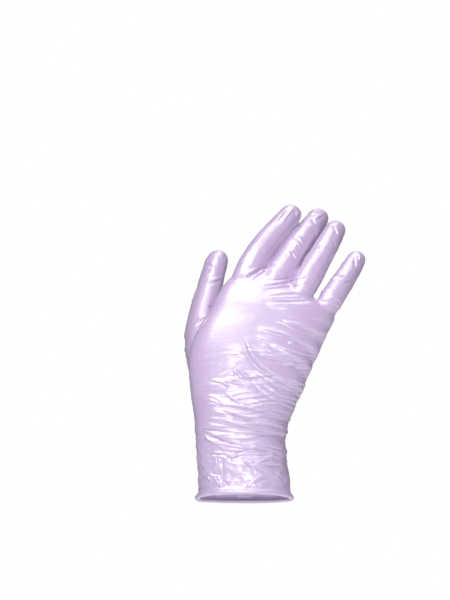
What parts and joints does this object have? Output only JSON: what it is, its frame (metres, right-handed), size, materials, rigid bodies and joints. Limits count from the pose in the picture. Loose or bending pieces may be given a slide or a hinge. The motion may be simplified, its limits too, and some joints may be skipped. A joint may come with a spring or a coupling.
{
  "type": "nitrile exam glove",
  "caption": "Thin dipped exam glove for a right hand, kept in its worn form, with a rolled bead round the open cuff.",
  "frame": {"origin": "centre of the cuff's opening, in the plane of the bead's lower edge", "axes": "+Z from the cuff up the hand, the back of the hand faces -Y, the thumb is at -X"},
  "size_m": [0.121, 0.0861, 0.2056],
  "materials": {
    "nitrile_film": "pearly satin lilac film"
  },
  "bodies": {
    "root": {"glove": "nitrile_film"}
  },
  "joints": []
}
